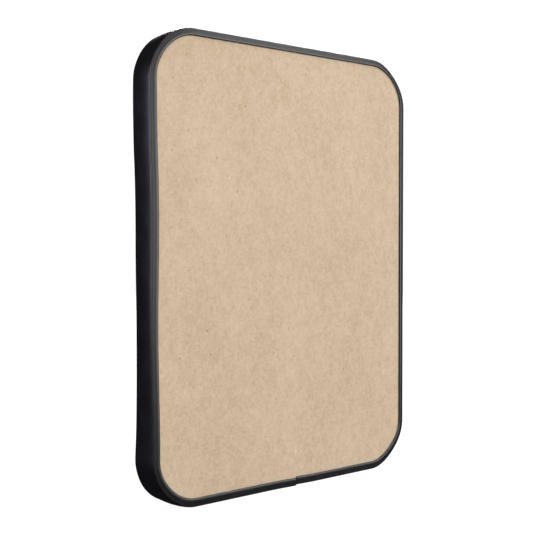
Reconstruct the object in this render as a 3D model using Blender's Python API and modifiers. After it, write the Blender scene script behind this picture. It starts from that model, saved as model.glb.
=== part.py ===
"""Wall punch pad: a fibreboard back, two layers of foam, a leathercloth cover, a ring of
staples through the cover into the board's edge, and an edge trim bent round it all.

The frame is +Z up, in metres. The wall is on the +Y side and the striking face looks
along -Y. The origin is the centre of the plane of the trim's rear lip, which touches
the wall.
"""

import math

import bmesh
import bpy
from mathutils import Matrix, Vector

MM = 0.001

# The outside of the trim
WIDTH = 300 * MM
HEIGHT = 400 * MM
CORNER_RADIUS = 44 * MM
TRIM_DEPTH = 27 * MM
TRIM_WEB = 1.8 * MM
TRIM_LIP = 6 * MM  # measured inwards from the outside of the web
TRIM_LIP_THICKNESS = 1.5 * MM
TRIM_JOINT_GAP = 1 * MM
TRIM_JOINT_PLACE = -6.5 * MM  # from the middle of the bottom, towards -X

# The layers, from the wall outwards
CLEARANCE = 0.3 * MM
BOARD_THICKNESS = 9 * MM
FOAM_BASE_THICKNESS = 6 * MM
COVER_THICKNESS = 1 * MM
CROWN_DEPTH = 8 * MM  # how far the cover stands out beyond the trim's front lip
CROWN_WIDTH = 28 * MM  # from the lip's inner edge to where the cover goes flat
CROWN_STEPS = 6
COVER_HEM = 2.4 * MM  # the plane where the turned-down cover ends

# Staples of flat wire, crown along the board's edge
STAPLE_COUNT = 24
STAPLE_CROWN = 9 * MM
STAPLE_LEG = 8 * MM
STAPLE_WIRE_WIDTH = 0.75 * MM
STAPLE_WIRE_THICKNESS = 0.55 * MM
STAPLE_SEAT = 2.3 * MM  # from the trim's outside to the outside of the crown

ARC_POINTS = 9  # on each quarter-round corner
WELD = 0.01 * MM  # points nearer than this are one
FLAT = math.radians(0.5)  # faces that meet at less than this are one
SHARP = math.radians(30)  # edges that turn by more than this stay sharp

# Each layer's place, worked out from the sizes above
COVER_INSET = STAPLE_SEAT + STAPLE_WIRE_THICKNESS + CLEARANCE
CORE_INSET = COVER_INSET + COVER_THICKNESS + CLEARANCE
BOARD_REAR = -(TRIM_LIP_THICKNESS + CLEARANCE)
BOARD_FRONT = BOARD_REAR - BOARD_THICKNESS
FOAM_BASE_REAR = BOARD_FRONT - CLEARANCE
FOAM_BASE_FRONT = FOAM_BASE_REAR - FOAM_BASE_THICKNESS
FOAM_TOP_REAR = FOAM_BASE_FRONT - CLEARANCE
COVER_SHOULDER = -(TRIM_DEPTH - TRIM_LIP_THICKNESS - CLEARANCE)
CROWN_START = TRIM_LIP + CLEARANCE
CROWN_RISE = TRIM_DEPTH + COVER_SHOULDER + CROWN_DEPTH


def clear_scene():
    for obj in list(bpy.data.objects):
        bpy.data.objects.remove(obj, do_unlink=True)


def new_collection(name):
    collection = bpy.data.collections.new(name)
    bpy.context.scene.collection.children.link(collection)
    return collection


def new_material(name, color, roughness, metallic=0.0):
    material = bpy.data.materials.new(name)
    material.use_nodes = True
    shader = material.node_tree.nodes["Principled BSDF"]
    shader.inputs["Base Color"].default_value = (*color, 1.0)
    shader.inputs["Roughness"].default_value = roughness
    shader.inputs["Metallic"].default_value = metallic
    return material


def outline_points(inset):
    """The corners of the pad as arcs, anticlockwise from the +X side, inset all round."""
    radius = CORNER_RADIUS - inset
    across = WIDTH / 2 - CORNER_RADIUS
    up = HEIGHT / 2 - CORNER_RADIUS
    points = []
    for corner, (x, z) in enumerate([(across, up), (-across, up), (-across, -up), (across, -up)]):
        for step in range(ARC_POINTS):
            angle = math.radians(90) * (corner + step / (ARC_POINTS - 1))
            points.append((x + radius * math.cos(angle), z + radius * math.sin(angle)))
    return points


def plate(name, points, thickness, collection):
    """A flat outline in X and Y, given thickness about its plane, as a closed mesh."""
    curve = bpy.data.curves.new(name, "CURVE")
    curve.dimensions = "2D"
    curve.fill_mode = "BOTH"
    curve.extrude = thickness / 2
    spline = curve.splines.new("POLY")
    spline.points.add(len(points) - 1)
    for point, (x, y) in zip(spline.points, points):
        point.co = (x, y, 0, 1)
    spline.use_cyclic_u = True
    guide = bpy.data.objects.new(name, curve)
    collection.objects.link(guide)
    bpy.context.view_layer.update()
    evaluated = guide.evaluated_get(bpy.context.evaluated_depsgraph_get())
    mesh = bpy.data.meshes.new_from_object(evaluated)
    place = guide.matrix_world.copy()
    bpy.data.objects.remove(guide)
    cage = bmesh.new()
    cage.from_mesh(mesh)
    bmesh.ops.remove_doubles(cage, verts=cage.verts, dist=WELD)
    bmesh.ops.dissolve_limit(cage, angle_limit=FLAT, verts=cage.verts, edges=cage.edges)
    bmesh.ops.recalc_face_normals(cage, faces=cage.faces)
    cage.to_mesh(mesh)
    cage.free()
    obj = bpy.data.objects.new(name, mesh)
    obj.matrix_world = place
    collection.objects.link(obj)
    return obj


def upright_plate(name, points, rear, front, collection):
    """A plate that stands in X and Z, from its rear plane to its front plane."""
    obj = plate(name, points, rear - front, collection)
    middle = Matrix.Translation((0, (rear + front) / 2, 0))
    obj.matrix_world = middle @ Matrix.Rotation(math.radians(90), 4, "X")
    bpy.context.view_layer.update()
    return obj


def finish(obj, material):
    obj.data.materials.clear()
    obj.data.materials.append(material)
    obj.data.shade_smooth()
    obj.data.set_sharp_from_angle(angle=SHARP)


def cut(obj, cutters):
    """Takes every object in the cutters' collection away from the object."""
    boolean = obj.modifiers.new("cut", "BOOLEAN")
    boolean.operation = "DIFFERENCE"
    boolean.solver = "EXACT"
    boolean.operand_type = "COLLECTION"
    boolean.collection = cutters


def hide_cutter(cutter):
    cutter.hide_render = True
    cutter.display_type = "WIRE"


def inset_face(cage, face, distance):
    bmesh.ops.inset_region(cage, faces=[face], thickness=distance, use_even_offset=True)


def raise_crown(obj, shoulder, start, rise):
    """Insets the front face in steps that follow a quarter of an ellipse.

    shoulder is the inset where the face's own outline lies, and start is the inset
    where the crown begins to rise.
    """
    cage = bmesh.new()
    cage.from_mesh(obj.data)
    to_local = obj.matrix_world.to_3x3().inverted()
    outwards = to_local @ Vector((0, -1, 0))
    front = max(cage.faces, key=lambda face: face.calc_center_median().dot(outwards))
    inset_face(cage, front, start - shoulder)
    inset = 0.0
    height = 0.0
    for step in range(1, CROWN_STEPS + 1):
        angle = math.radians(90) * step / CROWN_STEPS
        next_inset = CROWN_WIDTH * (1 - math.cos(angle))
        next_height = rise * math.sin(angle)
        inset_face(cage, front, next_inset - inset)
        bmesh.ops.translate(cage, verts=front.verts, vec=outwards * (next_height - height))
        inset = next_inset
        height = next_height
    cage.to_mesh(obj.data)
    cage.free()


def make_back_board(parts, slots):
    """Medium-density fibreboard, with a slot for each staple leg."""
    board = upright_plate("back_board", outline_points(CORE_INSET), BOARD_REAR, BOARD_FRONT, parts)
    cut(board, slots)
    finish(board, new_material("raw_fibreboard", (0.68, 0.50, 0.35), 0.85))


def make_foam_base(parts):
    """A firm sheet that spreads a blow over the board."""
    outline = outline_points(CORE_INSET)
    foam = upright_plate("foam_base", outline, FOAM_BASE_REAR, FOAM_BASE_FRONT, parts)
    finish(foam, new_material("firm_eva_foam", (0.05, 0.05, 0.055), 0.9))


def make_foam_top(parts):
    """The soft foam that is struck, crowned like the cover that lies on it."""
    below_cover = COVER_THICKNESS + CLEARANCE
    outline = outline_points(CORE_INSET)
    shoulder = COVER_SHOULDER + below_cover
    foam = upright_plate("foam_top", outline, FOAM_TOP_REAR, shoulder, parts)
    raise_crown(foam, CORE_INSET, CROWN_START + below_cover, CROWN_RISE)
    finish(foam, new_material("soft_polyurethane_foam", (0.62, 0.58, 0.45), 0.95))


def make_cover(parts, slots):
    """Leathercloth over the front and down the sides: an open surface made solid."""
    cover = upright_plate("cover", outline_points(COVER_INSET), -COVER_HEM, COVER_SHOULDER, parts)
    raise_crown(cover, COVER_INSET, CROWN_START, CROWN_RISE)
    cage = bmesh.new()
    cage.from_mesh(cover.data)
    inwards = cover.matrix_world.to_3x3().inverted() @ Vector((0, 1, 0))
    back = max(cage.faces, key=lambda face: face.calc_center_median().dot(inwards))
    bmesh.ops.delete(cage, geom=[back], context="FACES")
    cage.to_mesh(cover.data)
    cage.free()
    solid = cover.modifiers.new("thickness", "SOLIDIFY")
    solid.thickness = COVER_THICKNESS
    solid.offset = -1
    solid.use_even_offset = True
    cut(cover, slots)
    finish(cover, new_material("black_leathercloth", (0.012, 0.012, 0.014), 0.45))


def make_joint_cutter(cutters):
    """A block as wide as the gap between the trim's two ends, at the bottom."""
    place = (TRIM_JOINT_PLACE, -TRIM_DEPTH / 2, -HEIGHT / 2)
    bpy.ops.mesh.primitive_cube_add(size=1, location=place)
    joint = bpy.context.object
    joint.name = "trim_joint"
    joint.data.transform(Matrix.Diagonal((TRIM_JOINT_GAP, 2 * TRIM_DEPTH, 2.5 * TRIM_LIP, 1)))
    for collection in joint.users_collection:
        collection.objects.unlink(joint)
    cutters.objects.link(joint)


def make_edge_trim(parts, cutters):
    """A channel of soft plastic: the solid outline less its pocket, mouth and butt joint."""
    trim = upright_plate("edge_trim", outline_points(0), 0, -TRIM_DEPTH, parts)
    pocket_rear = -TRIM_LIP_THICKNESS
    pocket_front = TRIM_LIP_THICKNESS - TRIM_DEPTH
    upright_plate("trim_pocket", outline_points(TRIM_WEB), pocket_rear, pocket_front, cutters)
    upright_plate("trim_mouth", outline_points(TRIM_LIP), TRIM_DEPTH, -2 * TRIM_DEPTH, cutters)
    make_joint_cutter(cutters)
    for cutter in cutters.objects:
        hide_cutter(cutter)
    cut(trim, cutters)
    finish(trim, new_material("black_soft_pvc", (0.015, 0.015, 0.018), 0.4))


def staple_outline():
    """The staple's U in its own plane: crown outside on the X axis, legs along +Y."""
    outer = STAPLE_CROWN / 2
    inner = outer - STAPLE_WIRE_THICKNESS
    return [
        (-outer, 0),
        (outer, 0),
        (outer, STAPLE_LEG),
        (inner, STAPLE_LEG),
        (inner, STAPLE_WIRE_THICKNESS),
        (-inner, STAPLE_WIRE_THICKNESS),
        (-inner, STAPLE_LEG),
        (-outer, STAPLE_LEG),
    ]


def slot_outline(side):
    """A leg of the staple with clearance round it, on the side -1 or 1."""
    middle = side * (STAPLE_CROWN - STAPLE_WIRE_THICKNESS) / 2
    half = STAPLE_WIRE_THICKNESS / 2 + CLEARANCE
    tip = STAPLE_LEG + CLEARANCE
    return [(middle - half, 0), (middle + half, 0), (middle + half, tip), (middle - half, tip)]


def staple_places():
    """Where each crown's outside lies and which way is out, evenly round the edge.

    The path starts at the bottom centre and runs anticlockwise as seen from the front.
    """
    radius = CORNER_RADIUS - STAPLE_SEAT
    across = WIDTH / 2 - CORNER_RADIUS
    up = HEIGHT / 2 - CORNER_RADIUS
    quarter = radius * math.radians(90)
    runs = [across, 2 * up, 2 * across, 2 * up, across]
    run_ends = [(across, -up), (across, up), (-across, up), (-across, -up), (0, -up)]
    pitch = (sum(runs) + 4 * quarter) / STAPLE_COUNT
    for number in range(STAPLE_COUNT):
        along = (number + 0.5) * pitch
        turn = 0
        while along > runs[turn] + quarter:
            along -= runs[turn] + quarter
            turn += 1
        heading = math.radians(90) * turn + max(along - runs[turn], 0) / radius
        forwards = Vector((math.cos(heading), math.sin(heading)))
        outwards = Vector((forwards.y, -forwards.x))
        centre = Vector(run_ends[turn]) - forwards * max(runs[turn] - along, 0)
        yield centre + outwards * radius, outwards


def make_staples(parts, slots):
    """The staples, and a slot round each leg that leaves clearance in cover and board."""
    steel = new_material("galvanised_steel", (0.62, 0.62, 0.60), 0.35, 1.0)
    mid_board = (BOARD_REAR + BOARD_FRONT) / 2
    for number, (place, outwards) in enumerate(staple_places(), start=1):
        seat = Matrix(
            (
                (-outwards.y, -outwards.x, 0, place.x),
                (0, 0, -1, mid_board),
                (outwards.x, -outwards.y, 0, place.y),
                (0, 0, 0, 1),
            )
        )
        staple = plate(f"staple_{number:02d}", staple_outline(), STAPLE_WIRE_WIDTH, parts)
        staple.matrix_world = seat
        finish(staple, steel)
        for side, hand in ((-1, "left"), (1, "right")):
            name = f"leg_slot_{number:02d}_{hand}"
            slot = plate(name, slot_outline(side), STAPLE_WIRE_WIDTH + 2 * CLEARANCE, slots)
            slot.matrix_world = seat
            hide_cutter(slot)


def main():
    clear_scene()
    parts = new_collection("wall_punch_pad")
    trim_cutters = new_collection("trim_cutters")
    leg_slots = new_collection("leg_slots")
    make_staples(parts, leg_slots)
    make_back_board(parts, leg_slots)
    make_foam_base(parts)
    make_foam_top(parts)
    make_cover(parts, leg_slots)
    make_edge_trim(parts, trim_cutters)


main()
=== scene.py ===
import math
import bmesh
import bpy
import numpy as np
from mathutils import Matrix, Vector


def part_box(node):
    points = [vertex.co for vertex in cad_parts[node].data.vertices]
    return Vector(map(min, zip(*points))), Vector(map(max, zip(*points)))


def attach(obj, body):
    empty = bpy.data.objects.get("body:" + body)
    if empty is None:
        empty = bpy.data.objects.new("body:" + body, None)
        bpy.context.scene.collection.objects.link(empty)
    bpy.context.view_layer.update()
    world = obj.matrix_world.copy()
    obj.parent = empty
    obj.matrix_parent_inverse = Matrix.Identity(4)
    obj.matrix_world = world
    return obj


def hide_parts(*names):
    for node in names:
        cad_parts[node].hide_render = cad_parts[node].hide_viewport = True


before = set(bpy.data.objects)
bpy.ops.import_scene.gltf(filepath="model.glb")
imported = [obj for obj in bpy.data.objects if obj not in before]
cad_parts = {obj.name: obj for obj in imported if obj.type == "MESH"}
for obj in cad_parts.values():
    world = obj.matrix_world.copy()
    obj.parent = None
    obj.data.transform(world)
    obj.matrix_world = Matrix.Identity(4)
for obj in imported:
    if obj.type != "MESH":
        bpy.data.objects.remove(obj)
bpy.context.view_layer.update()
print("frame loaded")

mm = 0.001
tiny = 0.001 * mm
quarterTurn = math.pi / 2
scene = bpy.context.scene


# an sRGB hex colour as linear red, green, blue and alpha
def toLinear(hexColour):
    values = [int(hexColour[i:i + 2], 16) / 255 for i in (1, 3, 5)]
    linear = [v / 12.92 if v <= 0.04045 else ((v + 0.055) / 1.055) ** 2.4 for v in values]
    return (*linear, 1.0)


# adds a shader node: a node or socket given as an input is linked, anything else is its value
def addNode(tree, kind, inputs=None, **settings):
    node = tree.nodes.new("ShaderNode" + kind)
    for key, value in settings.items():
        setattr(node, key, value)
    for key, value in (inputs or {}).items():
        if isinstance(value, bpy.types.Node):
            value = value.outputs[0]
        if isinstance(value, bpy.types.NodeSocket):
            tree.links.new(value, node.inputs[key])
        else:
            node.inputs[key].default_value = value
    return node


# an empty material with its tree, its surface shader and its Object coordinates
def newMaterial(name, **values):
    material = bpy.data.materials.new(name)
    material.use_nodes = True
    tree = material.node_tree
    tree.nodes.clear()
    inputs = {key.replace("_", " "): value for key, value in values.items()}
    shader = addNode(tree, "BsdfPrincipled", inputs)
    addNode(tree, "OutputMaterial", {"Surface": shader})
    return material, tree, shader, addNode(tree, "TexCoord").outputs["Object"]


# a closed mesh object from whole arrays of points and quads, and its end faces if it has any.
# Its faces point outwards, and it is smooth but for edges sharper than the angle
def makeObject(name, points, quads, ends=(), sharpAngle=40):
    mesh = bpy.data.meshes.new(name)
    mesh.from_pydata(points.tolist(), [], quads.tolist() + [list(end) for end in ends])
    cage = bmesh.new()
    cage.from_mesh(mesh)
    bmesh.ops.recalc_face_normals(cage, faces=cage.faces)
    cage.to_mesh(mesh)
    cage.free()
    mesh.shade_smooth()
    mesh.set_sharp_from_angle(angle=math.radians(sharpAngle))
    thing = bpy.data.objects.new(name, mesh)
    scene.collection.objects.link(thing)
    return thing


# puts a finished piece in the place of a CAD node
def standFor(thing, node, material):
    thing.data.materials.append(material)
    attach(thing, "root")
    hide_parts(node)


# the outline that every piece follows at its own inset: straight sides and round corners
trimLow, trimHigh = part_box("edge_trim")
outline = {
    "cornerRadius": 44 * mm,
    "sheetRadius": 6 * mm,
    "cornerSteps": 9,
    "pitch": 4 * mm,
}
across = trimHigh.x - outline["cornerRadius"]
up = trimHigh.z - outline["cornerRadius"]


# how far a node's edge lies inside the trim's outside, and its rear and front planes
def layerOf(node):
    low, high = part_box(node)
    return trimHigh.x - high.x, high.y, low.y


# places across a sheet: even steps on the straight, then steps of equal turn through the
# corner, where a step from the corner square's middle is the root of two times a sine
def sheetPlaces(straight, fine=None):
    places = np.linspace(-straight, straight, round(2 * straight / outline["pitch"]) + 1)
    if fine is not None:
        outside = (places < fine.min()) | (places > fine.max())
        places = np.sort(np.concatenate([places[outside], fine]))
    turn = np.linspace(0, quarterTurn / 2, outline["cornerSteps"] + 1)[1:]
    bend = straight + outline["sheetRadius"] * math.sqrt(2) * np.sin(turn)
    return np.concatenate([-bend[::-1], places, bend])


# the flat middle sheet as a grid. In a corner square the point (a, b) goes to
# (a sqrt(1 - b b / 2), b sqrt(1 - a a / 2)), which bends the square into a quarter disc
def middleSheet(xs, zs):
    radius = outline["sheetRadius"]
    x, z = np.meshgrid(xs, zs)
    a = np.maximum(np.abs(x) - across, 0) / radius
    b = np.maximum(np.abs(z) - up, 0) / radius
    corner = (a > 0) & (b > 0)
    bentX = np.sign(x) * (across + radius * a * np.sqrt(1 - b * b / 2))
    bentZ = np.sign(z) * (up + radius * b * np.sqrt(1 - a * a / 2))
    return np.where(corner, bentX, x), np.where(corner, bentZ, z)


# the quads of a grid of indices, rows along the first axis
def gridQuads(index):
    corners = [index[:-1, :-1], index[:-1, 1:], index[1:, 1:], index[1:, :-1]]
    return np.stack([corner.ravel() for corner in corners], 1)


# a body with a front sheet, rings that carry a profile of insets and depths round the outline,
# and a rear sheet unless it is left open. A ring's point is the nearest point of the inner
# rectangle plus the outward direction times the corner radius less the inset. It gives the
# points, the quads, and how many points a sheet and its rim have
def layerArrays(profile, xs, zs, openRear=False):
    x, z = middleSheet(xs, zs)
    index = np.arange(x.size).reshape(x.shape)
    rim = np.concatenate([index[0, :-1], index[:-1, -1], index[-1, :0:-1], index[:0:-1, 0]])
    rimX, rimZ = x.ravel()[rim], z.ravel()[rim]
    nearX, nearZ = np.clip(rimX, -across, across), np.clip(rimZ, -up, up)
    outX, outZ = (rimX - nearX) / outline["sheetRadius"], (rimZ - nearZ) / outline["sheetRadius"]
    rings = profile[1:] if openRear else profile[1:-1]
    reach = outline["cornerRadius"] - rings[:, :1]
    depth = np.broadcast_to(rings[:, 1:], (len(rings), len(rim)))
    ringPoints = np.stack([nearX + outX * reach, depth, nearZ + outZ * reach], -1)
    flat = [np.stack([x, np.full_like(x, profile[end, 1]), z], -1).reshape(-1, 3) for end in (0, -1)]
    sheets = flat[:1] if openRear else flat
    first = x.size * len(sheets)
    loops = [rim] + list(first + np.arange(len(rings) * len(rim)).reshape(len(rings), -1))
    quads = [gridQuads(index)]
    if not openRear:
        loops.append(rim + x.size)
        quads.append(gridQuads(index + x.size)[:, ::-1])
    loops = np.array(loops)
    quads.append(gridQuads(np.concatenate([loops, loops[:, :1]], 1))[:, ::-1])
    return np.vstack(sheets + [ringPoints.reshape(-1, 3)]), np.vstack(quads), x.size, len(rim)


# rounds a path whose legs meet at right angles: each corner becomes a quarter circle about
# the point one radius along both legs. Doubled points go, and legs longer than a step are
# given points at most a step apart. It also gives how far along the path each point is
def roundPath(corners, radii, step, closed=False, arcSteps=6):
    corners = np.array(corners)
    radii = np.array(radii)[:, None, None]
    back = np.roll(corners, 1, 0) - corners
    ahead = np.roll(corners, -1, 0) - corners
    back, ahead = (way / np.linalg.norm(way, axis=1, keepdims=True) for way in (back, ahead))
    turn = np.linspace(0, quarterTurn, arcSteps + 1)[None, :, None]
    centres = corners[:, None] + radii * (back + ahead)[:, None]
    path = centres - radii * (back[:, None] * np.sin(turn) + ahead[:, None] * np.cos(turn))
    path = path.reshape(-1, 2)
    if closed:
        path = np.vstack([path, path[:1]])
    keep = np.append(True, np.linalg.norm(np.diff(path, axis=0), axis=1) > tiny)
    path = path[keep]
    length = np.append(0, np.cumsum(np.linalg.norm(np.diff(path, axis=0), axis=1)))
    legs = np.ceil(np.diff(length) / step).astype(int)
    starts = np.repeat(length[:-1], legs)
    order = np.arange(legs.sum()) - np.repeat(np.cumsum(legs) - legs, legs)
    places = np.append(starts + order * np.repeat(np.diff(length) / legs, legs), length[-1])
    if closed:
        places = places[:-1]
    return np.stack([np.interp(places, length, path[:, i]) for i in (0, 1)], 1), places


# smooth unevenness without chance: the sum of sine waves over the plane. Each runs a turn round
# from the last and starts at its own place, and each is shorter and weaker than the one before
waves = {
    "count": 5,
    "firstAngle": 0.7,
    "turn": 2.4,
    "shorter": 0.37,
    "weaker": 0.5,
    "start": 1.9,
    "evenedBy": 2.5,
}


def softWaves(x, z, length, amount):
    w = waves
    number = np.arange(w["count"])[:, None]
    angle = w["turn"] * number + w["firstAngle"]
    way = (x.ravel() * np.cos(angle) + z.ravel() * np.sin(angle)) * (1 + w["shorter"] * number)
    wave = np.sin(2 * math.pi * way / length + w["start"] * number ** 2)
    total = (wave / (1 + w["weaker"] * number)).sum(0)
    return amount * total.reshape(x.shape) / w["evenedBy"]


# a bump of height one about a place: the exponential of minus half the square of the distance,
# counted in widths
def bump(value, middle, width):
    return np.exp(-0.5 * ((value - middle) / width) ** 2)


camera = {
    "place": (0.572, 0.649, 0.021),
    "towards": (-0.6417, -0.7666, -0.0243),
    "lens": 64.5,
    "sensor": 36,
}
eye = bpy.data.cameras.new("camera")
eye.lens = camera["lens"]
eye.sensor_width = camera["sensor"]
eye.clip_start = 0.01
eyeObject = bpy.data.objects.new("camera", eye)
eyeObject.location = camera["place"]
eyeObject.rotation_mode = "QUATERNION"
eyeObject.rotation_quaternion = Vector(camera["towards"]).to_track_quat("-Z", "Y")
scene.collection.objects.link(eyeObject)
scene.camera = eyeObject
print("camera")


# the board: medium-density fibreboard, sanded, with a sliver torn out near its bottom edge. The
# sliver's two ends are places across and up
board = {
    "edgeRadius": 0.6 * mm,
    "edgeStep": 8 * mm,
    "warp": 0.12 * mm,
    "warpLength": 260 * mm,
    "sliverTop": (-5.3 * mm, -165.8 * mm),
    "sliverBottom": (-10.3 * mm, -172.9 * mm),
    "sliverWidth": 0.95 * mm,
    "sliverDepth": 0.35 * mm,
    "sliverTail": 0.25,
    "sliverTaper": 1.5,
    "sliverFaint": 0.35,
    "sliverStep": 0.35 * mm,
    "sliverMargin": 5 * mm,
}

# sanded fibreboard: wood fibre pressed flat, matt and tan, mottled where the fibres bunch,
# with dark bark specks and pale whole fibres. Each layer of noise has its size, its stretch,
# its turn in the board's plane and its share. Each kind of mark has its spacing, its turn, its
# reach, how rare it is and its strength
fibreboard = {
    "dark": "#bba285",
    "middle": "#cbb69d",
    "light": "#d7c4ac",
    "speck": "#86664c",
    "paleFibre": "#f0dfc8",
    "sliver": "#f4e6d0",
    "layers": [
        (1.1 * mm, (1, 1, 0.45), 0.5, 0.22),
        (1.4 * mm, (0.45, 1, 1), 0.25, 0.19),
        (3.2 * mm, (1, 1, 0.8), 0.9, 0.23),
        (9 * mm, (1, 1, 0.8), 0.0, 0.18),
        (60 * mm, (1, 1, 0.7), 0.4, 0.18),
    ],
    "contrast": (0.355, 0.645),
    "specks": [
        (7 * mm, 0.3, 0.085, 0.62, 0.60),
        (11 * mm, 1.2, 0.075, 0.55, 0.75),
    ],
    "paleFibres": [
        (9 * mm, 2.1, 0.075, 0.60, 0.50),
    ],
    "markStretch": (1, 0.2, 0.5),
    "fray": 1.5 * mm,
    "frayPush": 1.1 * mm,
    "relief": 0.05 * mm,
}


def fibreboardFinish():
    f = fibreboard
    material, tree, shader, place = newMaterial("sandedFibreboard", Roughness=0.86, IOR=1.48)

    # the tan: a weighed sum of noises, spread over three colours
    total = 0.0
    for size, stretch, turn, share in f["layers"]:
        at = addNode(tree, "Mapping", {"Vector": place, "Scale": stretch, "Rotation": (0, turn, 0)})
        noise = addNode(tree, "TexNoise", {"Vector": at, "Scale": 1 / size, "Detail": 3.0})
        total = addNode(tree, "Math", {0: noise, 1: share, 2: total}, operation="MULTIPLY_ADD")
    ramp = addNode(tree, "ValToRGB", {"Fac": total})
    ramp.color_ramp.elements[0].position = f["contrast"][0]
    ramp.color_ramp.elements[0].color = toLinear(f["dark"])
    ramp.color_ramp.elements[1].position = f["contrast"][1]
    ramp.color_ramp.elements[1].color = toLinear(f["light"])
    ramp.color_ramp.elements.new(0.5).color = toLinear(f["middle"])
    colour = ramp.outputs[0]

    # marks: in some cells of a scatter a small stretched dot, its outline frayed by noise
    marks = [(*row, f["speck"]) for row in f["specks"]]
    marks += [(*row, f["paleFibre"]) for row in f["paleFibres"]]
    for spacing, turn, reach, rarity, strength, markColour in marks:
        mapped = {"Vector": place, "Scale": f["markStretch"], "Rotation": (0, turn, 0)}
        at = addNode(tree, "Mapping", mapped)
        fray = addNode(tree, "TexNoise", {"Vector": at, "Scale": 1 / f["fray"], "Detail": 2.0})
        push = {0: fray.outputs["Color"], "Scale": f["frayPush"]}
        push = addNode(tree, "VectorMath", push, operation="SCALE")
        bent = addNode(tree, "VectorMath", {0: at, 1: push}, operation="ADD")
        cells = addNode(tree, "TexVoronoi", {"Vector": bent, "Scale": 1 / spacing})
        dot = addNode(tree, "MapRange", {"Value": cells, "From Min": reach, "From Max": reach * 0.35})
        pick = addNode(tree, "SeparateColor", {0: cells.outputs["Color"]})
        picked = addNode(tree, "Math", {0: pick, 1: rarity}, operation="GREATER_THAN")
        shown = addNode(tree, "Math", {0: dot, 1: picked}, operation="MULTIPLY")
        amount = addNode(tree, "Math", {0: shown, 1: strength}, operation="MULTIPLY")
        mix = {"Factor": amount, 6: colour, 7: toLinear(markColour)}
        colour = addNode(tree, "Mix", mix, data_type="RGBA").outputs[2]

    # the torn sliver shows the paler wood inside
    torn = addNode(tree, "Attribute", attribute_name="sliver")
    mix = {"Factor": torn.outputs["Fac"], 6: colour, 7: toLinear(f["sliver"])}
    colour = addNode(tree, "Mix", mix, data_type="RGBA").outputs[2]
    tree.links.new(colour, shader.inputs["Base Color"])
    relief = addNode(tree, "Bump", {"Height": total, "Distance": f["relief"], "Strength": 1.0})
    tree.links.new(relief.outputs[0], shader.inputs["Normal"])
    return material


# the sliver's strength: a bump about the nearest point of the segment. From the segment's top to
# its bottom the bump grows from a thin faint tail to its full width and strength
def sliverAt(x, z):
    b = board
    top, bottom = np.array(b["sliverTop"]), np.array(b["sliverBottom"])
    way = bottom - top
    along = ((x - top[0]) * way[0] + (z - top[1]) * way[1]) / (way @ way)
    held = np.clip(along, 0, 1)
    off = np.hypot(x - top[0] - held * way[0], z - top[1] - held * way[1])
    width = b["sliverWidth"] * (b["sliverTail"] + (1 - b["sliverTail"]) * held ** b["sliverTaper"])
    return bump(off, 0, width) * (b["sliverFaint"] + (1 - b["sliverFaint"]) * held)


# the board: a rectangle's profile with rounded edges, carried round the outline. Soft waves warp
# it, and its rear face sinks by the sliver's strength times its depth
def makeBoard():
    b = board
    inset, rear, front = layerOf("back_board")
    sheet = outline["cornerRadius"] - outline["sheetRadius"]
    corners = [(sheet, front), (inset, front), (inset, rear), (sheet, rear)]
    profile, _ = roundPath(corners, [0, b["edgeRadius"], b["edgeRadius"], 0], b["edgeStep"])
    low = b["sliverBottom"][0] - b["sliverMargin"]
    high = b["sliverTop"][0] + b["sliverMargin"]
    xs = sheetPlaces(across, np.arange(low, high, b["sliverStep"]))
    points, quads, _, _ = layerArrays(profile, xs, sheetPlaces(up))
    x, z = points[:, 0], points[:, 2]
    torn = sliverAt(x, z)
    rearSide = points[:, 1] > (rear + front) / 2
    points[:, 1] += softWaves(x, z, b["warpLength"], b["warp"])
    points[:, 1] -= rearSide * torn * b["sliverDepth"]
    thing = makeObject("fibreboardPanel", points, quads)
    layer = thing.data.attributes.new("sliver", "FLOAT", "POINT")
    layer.data.foreach_set("value", (torn * rearSide).astype(np.float32))
    return thing


standFor(makeBoard(), "back_board", fibreboardFinish())
print("board")


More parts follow.
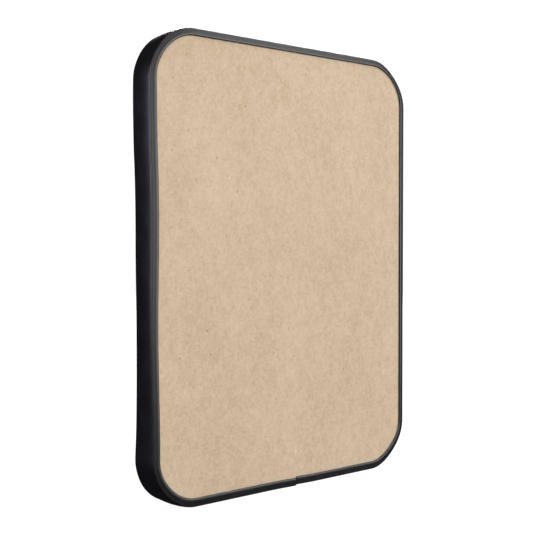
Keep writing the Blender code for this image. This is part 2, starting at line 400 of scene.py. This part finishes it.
# the edge trim: a channel of soft PVC, bent round in one length and butted at the bottom. Its
# +X side, the near one, is uneven: at each height in millimetres, how many millimetres its rear
# and its front edge are pushed inwards
trim = {
    "web": 1.8 * mm,
    "lip": 6 * mm,
    "lipThickness": 1.5 * mm,
    "rearRadius": 0.8 * mm,
    "frontRadius": 0.7 * mm,
    "lipEdgeRadius": 0.72 * mm,
    "creaseRadius": 0.4 * mm,
    "profileStep": 1 * mm,
    "step": 3.5 * mm,
    "sharpAngle": 50,
    # the rear lip: a shallow dip along it, its fall towards the web, and its sunken nose
    "lipDip": 0.2 * mm,
    "dipAt": 2.6 * mm,
    "dipWidth": 0.9 * mm,
    "dipDepth": 0.5 * mm,
    "lipSlope": 0.85 * mm,
    "slopeReach": 6 * mm,
    "bottomFlatter": 0.25,
    "noseDrop": 0.4 * mm,
    "noseReach": 2 * mm,
    "noseAtEnds": 0.3,
    # how much wider or narrower it is on each side
    "nearLipMore": 0.9 * mm,
    "bottomLipMore": 1.8 * mm,
    "topLipMore": 0.4 * mm,
    "farLipLess": 0.6 * mm,
    "farCornerLess": 1.4 * mm,
    # the web: swollen on its sides and ends, pinched at both edges, drawn in round the corners
    "swollen": {"near": 1.15 * mm, "far": 1.3 * mm, "ends": 0.72 * mm},
    "webBow": 1.1 * mm,
    "cornerPull": {"near": 1.0 * mm, "far": 1.9 * mm},
    "farOut": 0.45 * mm,
    "heights": (175, 140, 105, 72, 40, 7, -26, -60, -93, -126, -160, -190),
    "rearPush": (-0.5, -0.7, -0.2, 0.9, 1.35, 1.0, 0.2, 0.1, 0.8, 1.6, 1.8, 1.0),
    "frontPush": (0.3, -0.2, 0.2, 1.6, 2.0, 1.9, 2.4, 2.6, 2.6, 2.2, 1.0, -1.5),
    "pushWidth": 17 * mm,
    "pushPower": 1.3,
    "pocketPush": 0.45 * mm,
    "pocketDepth": 8 * mm,
    # the joint: its place, its gap, the cut ends' slanted notch and how far they have sprung
    "jointAt": -6.5 * mm,
    "jointGap": 0.12 * mm,
    "notch": 0.7 * mm,
    "notchReach": 1.6 * mm,
    "fineReach": 6.4 * mm,
    "fineSteps": 15,
    "endShift": (0.6 * mm, -0.5 * mm),
    "endReach": 14 * mm,
}

# soft PVC, extruded black: a satin skin with faint lines along its length from the die,
# a slight orange peel, and a few dull rubs where it has been handled
softPvc = {
    "black": "#0c0b0f",
    "rubbed": "#121116",
    "roughness": (0.33, 0.38),
    "dieLine": 0.7 * mm,
    "peel": 0.9 * mm,
    "cloud": 14 * mm,
    "relief": 0.02 * mm,
}


def softPvcFinish():
    f = softPvc
    material, tree, shader, place = newMaterial("extrudedSoftPvc", IOR=1.53)

    # the die's lines are noise drawn out along the strip, on its own map of length and girth
    strip = addNode(tree, "UVMap", uv_map="strip")
    drawnOut = addNode(tree, "Mapping", {"Vector": strip, "Scale": (0.03, 1, 1)})
    lines = addNode(tree, "TexNoise", {"Vector": drawnOut, "Scale": 1 / f["dieLine"], "Detail": 3.0})
    peel = addNode(tree, "TexNoise", {"Vector": place, "Scale": 1 / f["peel"], "Detail": 2.0})

    # clouds of rubbing: a little paler, and duller
    cloud = addNode(tree, "TexNoise", {"Vector": place, "Scale": 1 / f["cloud"], "Detail": 4.0})
    rubs = addNode(tree, "MapRange", {"Value": cloud, "From Min": 0.48, "From Max": 0.72})
    mix = {"Factor": rubs, 6: toLinear(f["black"]), 7: toLinear(f["rubbed"])}
    colour = addNode(tree, "Mix", mix, data_type="RGBA")
    tree.links.new(colour.outputs[2], shader.inputs["Base Color"])
    low, high = f["roughness"]
    spread = {"Value": cloud, "From Min": 0.3, "From Max": 0.7, "To Min": low, "To Max": high}
    rough = addNode(tree, "MapRange", spread)
    tree.links.new(rough.outputs[0], shader.inputs["Roughness"])
    height = addNode(tree, "Math", {0: lines, 1: 0.6, 2: peel}, operation="MULTIPLY_ADD")
    relief = addNode(tree, "Bump", {"Height": height, "Distance": f["relief"]})
    tree.links.new(relief.outputs[0], shader.inputs["Normal"])
    return material


# the outline walked from the bottom centre towards +X and up, as places and outward
# directions: along a straight run the place slides, and round a corner the direction turns
def walkOutline(along):
    radius = outline["cornerRadius"]
    runs = np.array([across, 2 * up, 2 * across, 2 * up, across])
    ends = np.array([(across, -up), (across, up), (-across, up), (-across, -up), (0, -up)])
    starts = np.concatenate([[0], np.cumsum(runs[:4] + radius * quarterTurn)])
    around = starts[4] + runs[4]
    along = np.mod(along, around)
    leg = np.searchsorted(starts, along, side="right") - 1
    rest = along - starts[leg]
    heading = quarterTurn * leg + np.maximum(rest - runs[leg], 0) / radius
    forwards = np.stack([np.cos(heading), np.sin(heading)], 1)
    outwards = np.stack([np.sin(heading), -np.cos(heading)], 1)
    centres = ends[leg] - forwards * np.maximum(runs[leg] - rest, 0)[:, None]
    return centres + outwards * radius, outwards, around


# how far inwards the strip is pushed on the near side. At each edge it is the mean of the listed
# pushes, each weighed by a bump about its height; between the edges it goes by a power of depth
def pushAt(height, depth):
    t = trim
    weights = bump(height[..., None], np.array(t["heights"]) * mm, t["pushWidth"])
    weights = weights + 1e-9  # so that they never all vanish
    rear, front = np.array(t["rearPush"]) * mm, np.array(t["frontPush"]) * mm
    rear = (weights * rear).sum(-1) / weights.sum(-1)
    front = (weights * front).sum(-1) / weights.sum(-1)
    share = np.clip(depth / trimLow.y, 0, 1) ** t["pushPower"]
    return rear * (1 - share) + front * share


# the same push inside the channel: no more than the pocket's room where the board and the
# staples are, and rising smoothly to all of it beyond them, where there is only foam
def pocketPushAt(height, depth):
    beyond = np.clip((-trim["pocketDepth"] - depth) / trim["pocketDepth"], 0, 1)
    beyond = beyond * beyond * (3 - 2 * beyond)
    push = pushAt(height, depth)
    return np.minimum(push, trim["pocketPush"] + beyond * np.maximum(push, 0))


# pushes the soft layers in where the strip presses on the near side, by what the push has more
# than their room, fading towards the middle
def squeeze(points, room):
    x, depth, z = points.T
    nearSide = np.clip((x - across) / outline["cornerRadius"], 0, 1) ** 2
    points[:, 0] -= nearSide * np.clip(pocketPushAt(z, depth) - room, 0, None)


# the channel's section: two lips joined by a web, as a closed path of insets and depths with
# rounded corners, and how far round the path each point is
def channelSection():
    t = trim
    front, pocket, lip = trimLow.y, t["web"], t["lip"]
    rearInside, frontInside = -t["lipThickness"], front + t["lipThickness"]
    corners = [
        (pocket, front / 2), (pocket, rearInside), (lip, rearInside), (lip, 0), (0, 0),
        (0, front), (lip, front), (lip, frontInside), (pocket, frontInside),
    ]
    edge, crease = t["lipEdgeRadius"], t["creaseRadius"]
    radii = [0, crease, edge, edge, t["rearRadius"], t["frontRadius"], edge, edge, crease]
    section, girth = roundPath(corners, radii, t["profileStep"], closed=True)
    return section[:, 0], section[:, 1], girth


# places along the strip. Near its two ends, where it is notched, they go by the square of their
# count; between these they are even
def stripPlaces(length):
    fine = trim["fineReach"] * (np.arange(trim["fineSteps"]) / trim["fineSteps"]) ** 2
    first, last = fine[-1] + trim["step"], length - fine[-1] - trim["step"]
    steps = int((length - 2 * fine[-1]) / trim["step"])
    return np.concatenate([fine, np.linspace(first, last, steps), length - fine[::-1]])


# the trim: its section carried along the outline. A point is its place on the outline plus the
# outward direction times what moves it out, less its inset and what moves it in. Near, far, top
# and down are the parts of that direction towards +X, -X, +Z and -Z. Its two cut ends are closed
def makeTrim():
    t = trim
    inset, depth, girth = channelSection()
    middle = trimLow.y / 2
    outside = inset < t["web"] / 2
    nose = np.clip(1 - (t["lip"] - inset) / t["noseReach"], 0, 1) ** 2 * (depth > -t["lipThickness"] / 2)
    dip = (depth > -t["dipDepth"]) * bump(inset, t["dipAt"], t["dipWidth"])
    depth = depth - t["lipDip"] * dip
    slope = np.clip(1 - inset / t["lip"], 0, 1) ** 2 * np.clip(1 + depth / t["slopeReach"], 0, 1)
    inset = inset + outside * t["webBow"] * ((depth - middle) / middle) ** 2
    acrossLip = np.clip((inset - t["web"]) / (t["lip"] - t["web"]), 0, 1)
    pocketSide = (inset >= t["web"] / 2) & (inset <= t["web"] + t["creaseRadius"] + tiny)
    pocketSide = pocketSide & (depth < -t["web"] / 2)

    # the cut ends: a slant that grows across the lip, and a spring in or out
    length = walkOutline(np.zeros(1))[2] - t["jointGap"]
    along = stripPlaces(length)[:, None]
    fromEnd = length - along
    slant = np.exp(-along / t["notchReach"]) - np.exp(-fromEnd / t["notchReach"])
    walked = t["jointAt"] + t["jointGap"] / 2 + along + slant * t["notch"] * acrossLip ** 2
    shift = t["endShift"][0] * np.exp(-((along / t["endReach"]) ** 2))
    shift = shift + t["endShift"][1] * np.exp(-((fromEnd / t["endReach"]) ** 2))
    places, outwards, _ = walkOutline(walked.ravel())
    places, outwards = places.reshape(*walked.shape, 2), outwards.reshape(*walked.shape, 2)
    sideways, upwards, height = outwards[..., 0], outwards[..., 1], places[..., 1]
    near, far = np.clip(sideways, 0, 1), np.clip(-sideways, 0, 1)
    top, down = np.clip(upwards, 0, 1), np.clip(-upwards, 0, 1)
    turned = (2 * sideways * upwards) ** 2  # one in a corner's middle, nothing on the straights

    # the web swells outwards, and the corners and the near side's dents push it inwards
    swollen = t["swollen"]["near"] * near ** 2 + t["swollen"]["far"] * far ** 2
    swollen = outside * (swollen + t["swollen"]["ends"] * upwards ** 2)
    pull = turned * np.where(sideways > 0, t["cornerPull"]["near"], t["cornerPull"]["far"])
    pull = np.where(pocketSide, np.minimum(pull, t["pocketPush"]), pull) - t["farOut"] * far ** 2
    dents = np.where(pocketSide, pocketPushAt(height, depth[None]), pushAt(height, depth[None]))
    push = pull + near * dents

    # the rear lip is wider or narrower from side to side, and falls towards the web and its nose
    wider = t["bottomLipMore"] * down ** 2 + t["nearLipMore"] * near ** 2 + t["topLipMore"] * top ** 2
    wider = wider - t["farLipLess"] * far ** 2
    wider = wider - t["farCornerLess"] * turned * (far > 0) * (height > 0)
    wider = wider * (depth > middle) * acrossLip
    fallen = t["lipSlope"] * slope[None] * (1 - t["bottomFlatter"] * down ** 2)
    fallen = fallen + t["noseDrop"] * nose * (1 - (1 - t["noseAtEnds"]) * upwards ** 2)

    moved = places + outwards * (shift + swollen - inset[None] - wider - push)[..., None]
    points = np.stack([moved[..., 0], depth[None] - fallen, moved[..., 1]], -1)
    index = np.arange(walked.size).reshape(walked.shape)
    quads = gridQuads(np.concatenate([index, index[:, :1]], 1))
    ends = [index[0], index[-1]]
    thing = makeObject("bentTrim", points.reshape(-1, 3), quads, ends, t["sharpAngle"])
    unrolled = np.stack(np.broadcast_arrays(along, girth[None]), -1).reshape(-1, 2)
    loopVertex = np.zeros(len(thing.data.loops), np.int32)
    thing.data.loops.foreach_get("vertex_index", loopVertex)
    layer = thing.data.uv_layers.new(name="strip")
    layer.data.foreach_set("uv", unrolled[loopVertex].astype(np.float32).ravel())
    return thing


standFor(makeTrim(), "edge_trim", softPvcFinish())
print("trim")


# the cover: leathercloth pulled over the foam and down the sides, its hem under the staples
cover = {
    "thickness": 1 * mm,
    "shoulderRadius": 2 * mm,
    "sideStep": 3 * mm,
    "crownWidth": 28 * mm,
    "crownSteps": 14,
    "lipClearance": 0.3 * mm,
    "webClearance": 0.3 * mm,
    "heldWidth": 0.5 * mm,
    "heldDepth": 0.1 * mm,
    "dome": 1.6 * mm,
    "cap": 2.8 * mm,
    "evenings": 90,
    "pucker": 0.45 * mm,
    "puckerAngle": 0.16,
    "puckerReach": 9 * mm,
    "puckerRise": 12,
    "waveLength": 120 * mm,
    "wave": 0.25 * mm,
    "clothPressure": 2,
    "clothFrames": 20,
    "clothQuality": 6,
    "sharpAngle": 60,
}

# leathercloth, PVC on a knitted back, pressed in a roller: black, with pebbles of about a
# millimetre parted by fine creases painted darker as shade, duller on the pebbles' tops where gloves have
# rubbed it
leathercloth = {
    "black": "#151517",
    # crease: painted shade, a darker black laid in the creases between the pebbles
    "crease": "#0b0b0c",
    "worn": "#262629",
    "pebble": 1.3 * mm,
    "finePebble": 0.55 * mm,
    "warp": 4 * mm,
    "warpPush": 1.6 * mm,
    "patch": 45 * mm,
    "roughness": (0.36, 0.55),
    "relief": 0.13 * mm,
}


def leatherclothFinish():
    f = leathercloth
    material, tree, shader, place = newMaterial("pebbledLeathercloth", IOR=1.5)

    # pebbles: scattered cells bent by a slow noise, rounded up from the creases between them, where a
    # darker colour is painted shade
    warp = addNode(tree, "TexNoise", {"Vector": place, "Scale": 1 / f["warp"], "Detail": 2.0})
    push = {0: warp.outputs["Color"], "Scale": f["warpPush"]}
    push = addNode(tree, "VectorMath", push, operation="SCALE")
    bent = addNode(tree, "VectorMath", {0: place, 1: push}, operation="ADD")
    scatter = {"Vector": bent, "Scale": 1 / f["pebble"]}
    cells = addNode(tree, "TexVoronoi", scatter, feature="DISTANCE_TO_EDGE")
    rounded = {"Value": cells, "From Max": 0.28}
    pebbles = addNode(tree, "MapRange", rounded, interpolation_type="SMOOTHSTEP")
    fine = addNode(tree, "TexNoise", {"Vector": bent, "Scale": 1 / f["finePebble"], "Detail": 2.0})

    # wear: slow patches where the tops are paler and duller
    patch = addNode(tree, "TexNoise", {"Vector": place, "Scale": 1 / f["patch"], "Detail": 4.0})
    worn = addNode(tree, "MapRange", {"Value": patch, "From Min": 0.5, "From Max": 0.75})
    tops = {"Factor": worn, 6: toLinear(f["black"]), 7: toLinear(f["worn"])}
    top = addNode(tree, "Mix", tops, data_type="RGBA")
    # painted shade: the creases between the pebbles take the darker crease colour
    both = {"Factor": pebbles, 6: toLinear(f["crease"]), 7: top.outputs[2]}
    colour = addNode(tree, "Mix", both, data_type="RGBA")
    tree.links.new(colour.outputs[2], shader.inputs["Base Color"])
    low, high = f["roughness"]
    spread = {"Value": patch, "From Min": 0.3, "From Max": 0.7, "To Min": low, "To Max": high}
    rough = addNode(tree, "MapRange", spread)
    tree.links.new(rough.outputs[0], shader.inputs["Roughness"])
    height = addNode(tree, "Math", {0: fine, 1: 0.25, 2: pebbles}, operation="MULTIPLY_ADD")
    relief = addNode(tree, "Bump", {"Height": height, "Distance": f["relief"], "Strength": 0.8})
    tree.links.new(relief.outputs[0], shader.inputs["Normal"])
    return material


# lets an open sheet swell: cloth under pressure, held where it is pinned. The foam stands behind
# it, so each point keeps only the outward part of its way, and goes no further than the cap.
# Then the foam evens it out: each point takes the mean of its neighbours, many times over
def swell(points, quads, pinned):
    c = cover
    mesh = bpy.data.meshes.new("swelling")
    mesh.from_pydata(points.tolist(), [], quads.tolist())
    sheet = bpy.data.objects.new("swelling", mesh)
    scene.collection.objects.link(sheet)
    sheet.vertex_groups.new(name="held").add(np.flatnonzero(pinned).tolist(), 1.0, "REPLACE")
    cloth = sheet.modifiers.new("cloth", "CLOTH")
    cloth.settings.vertex_group_mass = "held"
    cloth.settings.use_pressure = True
    cloth.settings.uniform_pressure_force = c["clothPressure"]
    cloth.settings.effector_weights.gravity = 0
    cloth.settings.quality = c["clothQuality"]
    cloth.point_cache.frame_start = 1
    cloth.point_cache.frame_end = c["clothFrames"]
    for number in range(1, c["clothFrames"] + 1):
        scene.frame_set(number)
    evaluated = sheet.evaluated_get(bpy.context.evaluated_depsgraph_get())
    after = np.zeros(len(points) * 3, np.float32)
    evaluated.data.vertices.foreach_get("co", after)
    outwards = np.zeros(len(points) * 3, np.float32)
    mesh.vertex_normals.foreach_get("vector", outwards)
    outwards = outwards.reshape(-1, 3)
    scene.frame_set(1)
    bpy.data.objects.remove(sheet)
    bpy.data.meshes.remove(mesh)
    rise = ((after.reshape(-1, 3) - points) * outwards).sum(1)
    print("cloth moved", round(float(rise.min()) / mm, 2), "to", round(float(rise.max()) / mm, 2), "mm")
    rise = c["cap"] * np.tanh(np.maximum(rise, 0) / c["cap"])
    starts = np.concatenate([quads, np.roll(quads, -1, 1)]).ravel()
    ends = np.concatenate([np.roll(quads, -1, 1), quads]).ravel()
    neighbours = np.bincount(starts, minlength=len(points))
    for _ in range(c["evenings"]):
        rise = np.where(pinned, 0, np.bincount(starts, rise[ends], len(points)) / neighbours)
    return outwards * rise[:, None]


# the crown of a layer: a quarter of an ellipse from the lip's inner edge up to the flat front,
# with the inset going by the cosine of the turn and the depth by its sine
def crown(start, shoulder, rise, width, steps):
    turn = np.linspace(quarterTurn, 0, steps + 1)
    return np.stack([start + width * (1 - np.cos(turn)), shoulder - rise * np.sin(turn)], 1)


# the cover: a profile of a flat front, a crown, a rounded shoulder and a side down to the hem,
# carried round the outline. A second skin lies one thickness inside it. Both are moved by the
# swelling, a dome that falls off by one less the square of the way across and up, soft waves,
# and puckers round the corners that go by a cosine of the angle
def makeCover():
    c = cover
    inset, hem, front = layerOf("cover")
    shoulder = trimLow.y + trim["lipThickness"] + c["lipClearance"]
    start = trim["lip"] + c["lipClearance"]
    sheet = outline["cornerRadius"] - outline["sheetRadius"]
    top = crown(start, shoulder, shoulder - front, c["crownWidth"], c["crownSteps"])
    corners = [(start, shoulder), (inset, shoulder), (inset, hem)]
    side, _ = roundPath(corners, [0, c["shoulderRadius"], 0], c["sideStep"])
    outer = np.vstack([[(sheet, front)], top, side[1:]])
    way = np.gradient(outer, axis=0)
    inwards = np.stack([-way[:, 1], way[:, 0]], 1) / np.linalg.norm(way, axis=1, keepdims=True)
    inner = outer + inwards * c["thickness"] * np.sign(inwards[0, 1])
    xs, zs = sheetPlaces(across), sheetPlaces(up)
    skin, skinQuads, size, rim = layerArrays(outer, xs, zs, openRear=True)
    x, depth, z = skin.T
    outX, outZ = x - np.clip(x, -across, across), z - np.clip(z, -up, up)
    insets = outline["cornerRadius"] - np.hypot(outX, outZ)
    free = np.clip((insets - start) / c["crownWidth"], 0, 1)
    held = (insets < start + c["heldWidth"]) | (depth > shoulder + c["heldDepth"])
    moved = np.zeros_like(skin)
    moved = swell(skin, skinQuads, held)
    dome = c["dome"] * (1 - (x / trimHigh.x) ** 2) * (1 - (z / trimHigh.z) ** 2) * free
    moved[:, 1] -= dome + softWaves(x, z, c["waveLength"], c["wave"]) * free
    angle = np.arctan2(outZ, outX)
    inCorner = (np.abs(outX) > 0) & (np.abs(outZ) > 0)
    folds = np.cos(2 * math.pi * angle / c["puckerAngle"]) * np.sin(2 * angle) ** 2
    fade = np.exp(-np.maximum(insets - start, 0) / c["puckerReach"])
    fade = fade * np.clip(free * c["puckerRise"], 0, 1)
    moved[:, 1] -= c["pucker"] * folds * fade * inCorner
    points, quads, _, _ = layerArrays(np.vstack([outer, inner[::-1]]), xs, zs)
    sheetMove, ringMove = moved[:size], moved[size:].reshape(len(outer) - 1, rim, 3)
    points += np.vstack([sheetMove, sheetMove, *ringMove, *ringMove[::-1]])
    squeeze(points, inset - trim["web"] - c["webClearance"])
    return makeObject("leatherclothCover", points, quads, sharpAngle=c["sharpAngle"])


coverPiece = makeCover()
standFor(coverPiece, "cover", leatherclothFinish())
print("cover")


# the foams: a firm closed-cell sheet on the board, and a thick soft crowned layer over it
foams = {
    "cutRadius": 0.5 * mm,
    "edgeStep": 6 * mm,
    "flatMargin": 2 * mm,
    "unevenness": 0.08 * mm,
    "unevenLength": 60 * mm,
}

# EVA foam, closed cells, skived from a block: dark grey, matt, with fine shut pores.
# Polyurethane foam, open cells, sawn: cream, very matt, with round pores that show. In both foams the
# pores' darker colour is painted shade
foamFinishes = {
    "foam_base": {"name": "skivedEvaFoam", "light": "#3b3b3f", "poreShade": "#232326", "cell": 0.5 * mm},
    "foam_top": {"name": "sawnPolyurethaneFoam", "light": "#d9cda6", "poreShade": "#a3966c", "cell": 1.1 * mm},
}


def foamFinish(node):
    f = foamFinishes[node]
    material, tree, shader, place = newMaterial(f["name"], Roughness=0.95, IOR=1.45)

    # pores: the middles of scattered cells, sunk, and painted darker as shade
    cells = addNode(tree, "TexVoronoi", {"Vector": place, "Scale": 1 / f["cell"]})
    pores = addNode(tree, "MapRange", {"Value": cells, "From Min": 0.15, "From Max": 0.45})
    mix = {"Factor": pores, 6: toLinear(f["poreShade"]), 7: toLinear(f["light"])}
    colour = addNode(tree, "Mix", mix, data_type="RGBA")
    tree.links.new(colour.outputs[2], shader.inputs["Base Color"])
    relief = addNode(tree, "Bump", {"Height": pores, "Distance": 0.3 * f["cell"]})
    tree.links.new(relief.outputs[0], shader.inputs["Normal"])
    return material


# a foam: a rectangle's profile with its cut edges rounded, or one with a crown under the
# cover's, carried round the outline and moved by soft waves
def makeFoam(name, node, crowned):
    inset, rear, front = layerOf(node)
    sheet = outline["cornerRadius"] - outline["sheetRadius"]
    radii = [0, foams["cutRadius"], foams["cutRadius"], 0]
    if crowned:
        below = cover["thickness"] + cover["lipClearance"]
        shoulder = trimLow.y + trim["lipThickness"] + cover["lipClearance"] + below
        start = trim["lip"] + cover["lipClearance"] + below
        width = sheet - foams["flatMargin"] - start
        top = crown(start, shoulder, shoulder - front, width, cover["crownSteps"])
        corners = [(start, shoulder), (inset, shoulder), (inset, rear), (sheet, rear)]
        side, _ = roundPath(corners, radii, foams["edgeStep"])
        profile = np.vstack([[(sheet, front)], top, side[1:]])
    else:
        corners = [(sheet, front), (inset, front), (inset, rear), (sheet, rear)]
        profile, _ = roundPath(corners, radii, foams["edgeStep"])
    points, quads, _, _ = layerArrays(profile, sheetPlaces(across), sheetPlaces(up))
    points[:, 1] += softWaves(points[:, 0], points[:, 2], foams["unevenLength"], foams["unevenness"])
    squeeze(points, cover["thickness"])
    thing = makeObject(name, points, quads)
    standFor(thing, node, foamFinish(node))


makeFoam("evaFoamSheet", "foam_base", False)
makeFoam("softFoamPad", "foam_top", True)
print("foams")


# galvanised steel wire, flattened and bent: bluish grey, satin, with small cloudy spangles
galvanised = {
    "light": "#c3c6c8",
    "dark": "#8f9396",
    "spangle": 0.6 * mm,
    "roughness": (0.28, 0.46),
}


def galvanisedFinish():
    f = galvanised
    material, tree, shader, place = newMaterial("galvanisedSteelWire", Metallic=1.0)

    # spangles: each scattered cell has its own shade, and a roughness that goes with it
    cells = addNode(tree, "TexVoronoi", {"Vector": place, "Scale": 1 / f["spangle"]})
    shade = addNode(tree, "SeparateColor", {0: cells.outputs["Color"]})
    mix = {"Factor": shade, 6: toLinear(f["dark"]), 7: toLinear(f["light"])}
    colour = addNode(tree, "Mix", mix, data_type="RGBA")
    tree.links.new(colour.outputs[2], shader.inputs["Base Color"])
    low, high = f["roughness"]
    rough = addNode(tree, "MapRange", {"Value": shade, "To Min": low, "To Max": high})
    tree.links.new(rough.outputs[0], shader.inputs["Roughness"])
    return material


steel = galvanisedFinish()
for node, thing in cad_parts.items():
    if node.startswith("staple_"):
        thing.data.materials.clear()
        thing.data.materials.append(steel)
print("staples")


# the studio: a plain white floor under the pad, white round about, and soft lights. The floor
# shows to the camera but throws nothing back, so the trim's sides stay dark
studio = {
    "floorHalf": 8.0,
    # floorGlow: painted light from the floor itself, weaker near the pad as a painted shade round it
    "floorGlow": (0.90, 1.05),
    "floorFade": 2.2,
    "floorColour": "#8c8c8c",
    "seenAround": 1.1,
    "around": 0.02,
    "lights": {
        "key": {"place": (1.75, 2.6, 0.75), "size": 2.0, "watts": 65, "colour": "#fffaf4"},
        "wallSide": {"place": (-1.45, 2.0, 0.2), "size": 1.7, "watts": 41, "colour": "#ffffff"},
        "high": {"place": (-1.5, 1.2, 1.6), "size": 1.0, "watts": 13, "colour": "#ffffff"},
        "overhead": {"place": (0.1, 0.5, 1.7), "size": 0.9, "watts": 7, "colour": "#ffffff"},
        "side": {"place": (2.0, -0.55, 0.3), "size": 1.0, "watts": 18, "colour": "#e8e8ff"},
        "front": {"place": (-1.8, -1.9, 1.3), "size": 1.6, "watts": 120, "colour": "#ffffff"},
    },
}


def makeFloor():
    half, level = studio["floorHalf"], trimLow.z
    corners = [(x * half, y * half, level) for x, y in ((-1, -1), (1, -1), (1, 1), (-1, 1))]
    mesh = bpy.data.meshes.new("floor")
    mesh.from_pydata(corners, [], [(0, 1, 2, 3)])
    floor = bpy.data.objects.new("floor", mesh)
    scene.collection.objects.link(floor)
    material = bpy.data.materials.new("whiteFloor")
    material.use_nodes = True
    tree = material.node_tree
    shader = tree.nodes["Principled BSDF"]
    shader.inputs["Base Color"].default_value = toLinear(studio["floorColour"])
    shader.inputs["Roughness"].default_value = 1.0
    shader.inputs["Specular IOR Level"].default_value = 0.0
    shader.inputs["Emission Color"].default_value = (1, 1, 1, 1)
    # painted light: the floor glows though it is no lamp; the glow is weakest at the pad and rises with
    # distance, a painted shade round the pad
    low, high = studio["floorGlow"]
    far = addNode(tree, "VectorMath", {0: addNode(tree, "TexCoord").outputs["Object"]}, operation="LENGTH")
    glow = {"Value": far.outputs["Value"], "From Max": studio["floorFade"], "To Min": low, "To Max": high}
    fade = addNode(tree, "MapRange", glow, interpolation_type="SMOOTHSTEP")
    tree.links.new(fade.outputs[0], shader.inputs["Emission Strength"])
    floor.data.materials.append(material)
    floor.visible_diffuse = False
    floor.visible_glossy = False


def makeWorld():
    world = bpy.data.worlds.new("studio")
    world.use_nodes = True
    tree = world.node_tree
    tree.nodes.clear()
    seen = addNode(tree, "Background", {"Color": (1, 1, 1, 1), "Strength": studio["seenAround"]})
    lighting = addNode(tree, "Background", {"Color": (1, 1, 1, 1), "Strength": studio["around"]})
    path = addNode(tree, "LightPath")
    either = addNode(tree, "MixShader", {0: path.outputs["Is Camera Ray"], 1: lighting, 2: seen})
    addNode(tree, "OutputWorld", {"Surface": either})
    scene.world = world


def makeLights():
    for name, value in studio["lights"].items():
        lamp = bpy.data.lights.new(name, "AREA")
        lamp.shape = "DISK"
        lamp.size = value["size"]
        lamp.energy = value["watts"]
        lamp.color = toLinear(value["colour"])[:3]
        thing = bpy.data.objects.new(name, lamp)
        thing.location = value["place"]
        thing.rotation_mode = "QUATERNION"
        thing.rotation_quaternion = (-Vector(value["place"])).to_track_quat("-Z", "Y")
        scene.collection.objects.link(thing)


makeFloor()
makeWorld()
makeLights()
scene.view_settings.view_transform = "Standard"
print("studio")
